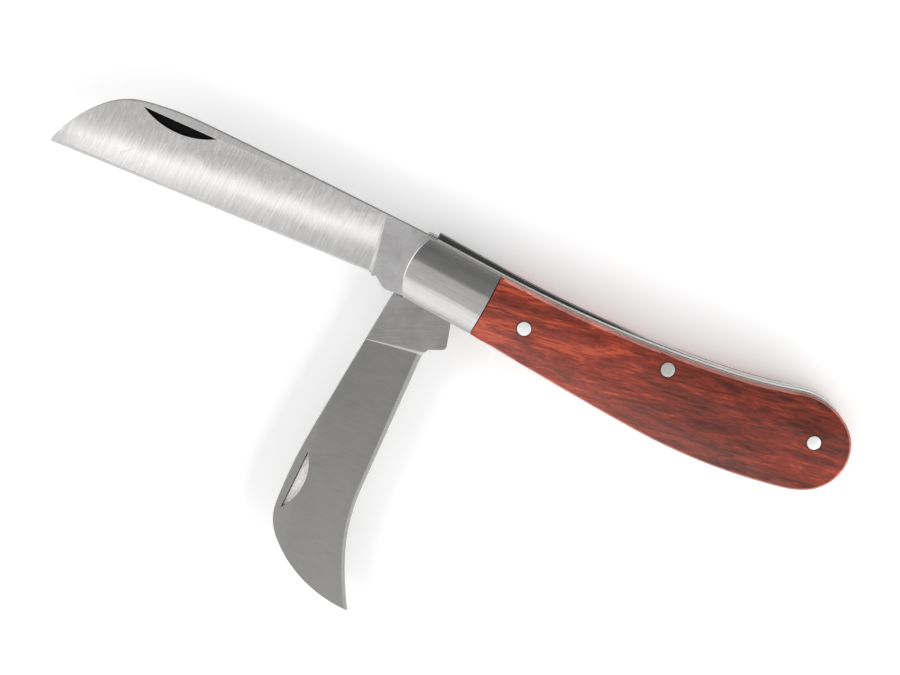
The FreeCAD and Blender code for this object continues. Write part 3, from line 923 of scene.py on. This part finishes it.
@dataclass
class Handle:
    """The covers, liners, springs and pins of the handle. Places are in millimetres."""

    workshop: Workshop
    finishes: Finishes
    sides: tuple[str, str] = ("upper", "lower")
    middle: float = 6.2
    cover_height: float = 3.1
    joint_margin: float = 0.02
    gap: float = 0.22
    front: float = -6.2
    rim_margin: float = 0.05
    bolster_break: float = 0.35
    rim_chamfer: float = 0.45
    hole_break: float = 0.10
    pin_break: EdgeBreak = EdgeBreak(0.08)
    liner_break: EdgeBreak = EdgeBreak(0.05)
    spring_break: EdgeBreak = EdgeBreak(0.12)

    def build(self) -> None:
        """Finish every piece of the handle."""
        looks = self.finishes
        bolster, wood = looks.bolster.material(), looks.wood.material()
        rim, liner, pin = looks.worn_and_lit_wood.material(), looks.liner.material(), looks.pin.material()
        bolster_front = EdgeBreak(self.bolster_break, 3, where=lambda p: self.outer(p) and p.x < self.front)
        rims = [EdgeBreak(self.rim_chamfer, 1, 22.0, self.on_rim, False, 1),
                EdgeBreak(self.hole_break, 1, 30.0, lambda p: self.outer(p) and self.at_pin(p), False)]
        for side in self.sides:
            self.workshop.stand_for(f"{side}_bolster", Body.HANDLE, Slot.BOLSTER, bolster, [bolster_front],
                                    even=True)
            scale = self.workshop.stand_for(f"{side}_scale", Body.HANDLE, Slot.WOOD, wood, rims, crisp=20.0,
                                            even=True)
            # The rim faces take the lighter rim wood: partly wear, partly a painted highlight.
            scale.data.materials.append(rim)
            self.open_joint(scale.data)
            self.workshop.stand_for(f"{side}_scale_rivet", Body.HANDLE, Slot.PIN, pin, [self.pin_break])
        for name in ("lower_liner", "centre_liner", "upper_liner"):
            self.workshop.stand_for(name, Body.HANDLE, Slot.LINER, liner, [self.liner_break])
        for name, finish in (("main_back_spring", looks.main_spring),
                             ("pruning_back_spring", looks.pruning_spring)):
            self.workshop.stand_for(name, Body.HANDLE, Slot.SPRING, finish.material(), [self.spring_break])
        self.workshop.stand_for("pivot_pin", Body.HANDLE, Slot.BOLSTER, bolster, [])
        for name, material in (("centre_pin", looks.dull_pin.material()), ("butt_pin", pin)):
            self.workshop.stand_for(name, Body.HANDLE, Slot.PIN, material, [self.pin_break])

    def outer(self, point: Vector) -> bool:
        """Whether a place on a cover is above its flat inner face.

        Args:
            point: the place.

        Returns:
            True on the cover's outer side.
        """
        return abs(point.z - self.middle) > self.cover_height

    def at_pin(self, point: Vector) -> bool:
        """Whether a place is on the rim of a pin's hole.

        Args:
            point: the place.

        Returns:
            True beside a pin.
        """
        return any(math.hypot(point.x - x, point.y - y) < PIN_RADIUS + self.rim_margin
                   for x, y in (PIVOT, *SCALE_PINS))

    def on_rim(self, point: Vector) -> bool:
        """Whether a place is on a scale's outer rim, away from the bolster and the pins.

        Args:
            point: the place.

        Returns:
            True on the rim.
        """
        behind = point.x > COVER_JOINT + self.joint_margin / 2
        return self.outer(point) and not self.at_pin(point) and behind

    def open_joint(self, mesh: bpy.types.Mesh) -> None:
        """Draw a scale's front end back from the bolster by the width of the shrinkage gap.

        Args:
            mesh: the scale's mesh.
        """
        for vertex in mesh.vertices:
            if vertex.co.x < (COVER_JOINT + self.joint_margin) * MM:
                vertex.co.x += self.gap * MM


@dataclass(frozen=True)
class SoftBox:
    """A soft rectangular light: its place and size in metres, how bright its face is, and its turn.

    The turn is how far its width is turned from X, in degrees.
    """

    name: str
    place: Triple
    size: Pair
    radiance: float
    turn: float = 0.0


@dataclass
class Studio:
    """The floor, the lights and the camera."""

    floor_size: float = 6.0
    floor_drop: float = 0.1 * MM
    view_direction: Vector = field(default_factory=lambda: Vector((-0.09, 0.21, 1.0)).normalized())
    aim: Vector = field(default_factory=lambda: Vector((6.4, -10.55, 6.2)) * MM)
    distance: float = 0.4828
    roll: float = math.radians(28.0)
    lens: float = 90.0
    sensor: float = 36.0
    nearest: float = 0.01
    floor_glow: float = 0.20
    surround: float = 0.10
    white: tuple[float, ...] = (1.0, 1.0, 1.0, 1.0)
    lights: tuple[SoftBox, ...] = (
        SoftBox("box_left", (-0.85, -0.05, 0.34), (1.3, 0.6), 3.3, 90.0),
        SoftBox("box_right", (0.85, -0.05, 0.34), (1.3, 0.6), 4.2, 90.0),
        SoftBox("back", (0.0, 0.90, 0.13), (1.6, 0.18), 3.5),
        SoftBox("overhead", (-0.05, -0.22, 0.80), (1.2, 0.52), 0.48),
        SoftBox("front", (0.0, -0.75, 0.52), (1.5, 0.70), 1.25),
        SoftBox("strip", (-0.052, -0.172, 0.60), (0.20, 0.022), 1.75, -9.0))

    def build(self) -> None:
        """Set up everything that isn't the knife."""
        self.lay_floor()
        for light in self.lights:
            self.hang_light(light)
        self.light_surround()
        self.place_camera()

    def lay_floor(self) -> None:
        """A plain pale floor just under the knife, lit a little from within as a light table is."""
        mesh = bpy.data.meshes.new("floor")
        built = bmesh.new()
        bmesh.ops.create_grid(built, x_segments=1, y_segments=1, size=self.floor_size / 2)
        built.to_mesh(mesh)
        built.free()
        floor = bpy.data.objects.new("floor", mesh)
        floor.location.z = -self.floor_drop
        bpy.context.scene.collection.objects.link(floor)
        look = Shading("floor_paper")
        tone = look.noise(look.mapped((3.0, 3.0, 3.0)), 1.0, 2.0)
        paper = look.ramp(tone, [(0.0, (0.93, 0.93, 0.93)), (1.0, (0.95, 0.95, 0.95))])
        look.set(Base_Color=paper, Roughness=0.9, Emission_Color=self.white,
                 Emission_Strength=self.floor_glow)
        floor.data.materials.append(look.material)

    @staticmethod
    def hang_light(box: SoftBox) -> None:
        """Hang one light, turned towards the knife.

        Args:
            box: the light.
        """
        data = bpy.data.lights.new(box.name, "AREA")
        data.shape = "RECTANGLE"
        data.size, data.size_y = box.size
        data.energy = box.radiance * math.pi * box.size[0] * box.size[1]
        light = bpy.data.objects.new(box.name, data)
        back, turn = Vector(box.place).normalized(), math.radians(box.turn)
        wide = Vector((math.cos(turn), math.sin(turn), 0.0))
        wide = (wide - back * wide.dot(back)).normalized()
        facing = Matrix((wide, back.cross(wide), back)).transposed().to_4x4()
        light.matrix_world = Matrix.Translation(box.place) @ facing
        bpy.context.scene.collection.objects.link(light)

    def light_surround(self) -> None:
        """A dim white world all round."""
        world = bpy.data.worlds.new("surround")
        world.use_nodes = True
        background = world.node_tree.nodes["Background"]
        background.inputs["Color"].default_value = self.white
        background.inputs["Strength"].default_value = self.surround
        bpy.context.scene.world = world

    def place_camera(self) -> None:
        """A long lens over the knife, tipped a little towards its back and its blade."""
        away = self.view_direction
        level = Vector((1.0, 0.0, 0.0))
        right = (level - away * level.dot(away)).normalized()
        up = away.cross(right)
        turned_right = right * math.cos(self.roll) + up * math.sin(self.roll)
        turned_up = up * math.cos(self.roll) - right * math.sin(self.roll)
        data = bpy.data.cameras.new("camera")
        data.lens = self.lens
        data.sensor_width = self.sensor
        data.clip_start = self.nearest
        camera = bpy.data.objects.new("camera", data)
        turn = Matrix((turned_right, turned_up, away)).transposed().to_4x4()
        camera.matrix_world = Matrix.Translation(self.aim + away * self.distance) @ turn
        bpy.context.scene.collection.objects.link(camera)
        bpy.context.scene.camera = camera


def main() -> None:
    """Build the knife and its studio."""
    logging.basicConfig(level=logging.INFO, format="%(name)s: %(message)s")
    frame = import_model()
    bpy.context.scene.view_settings.view_transform = "Standard"
    Studio().build()
    workshop, finishes = Workshop(frame), Finishes()
    Blades(workshop, finishes).build()
    Handle(workshop, finishes).build()


if __name__ == "__main__":
    main()
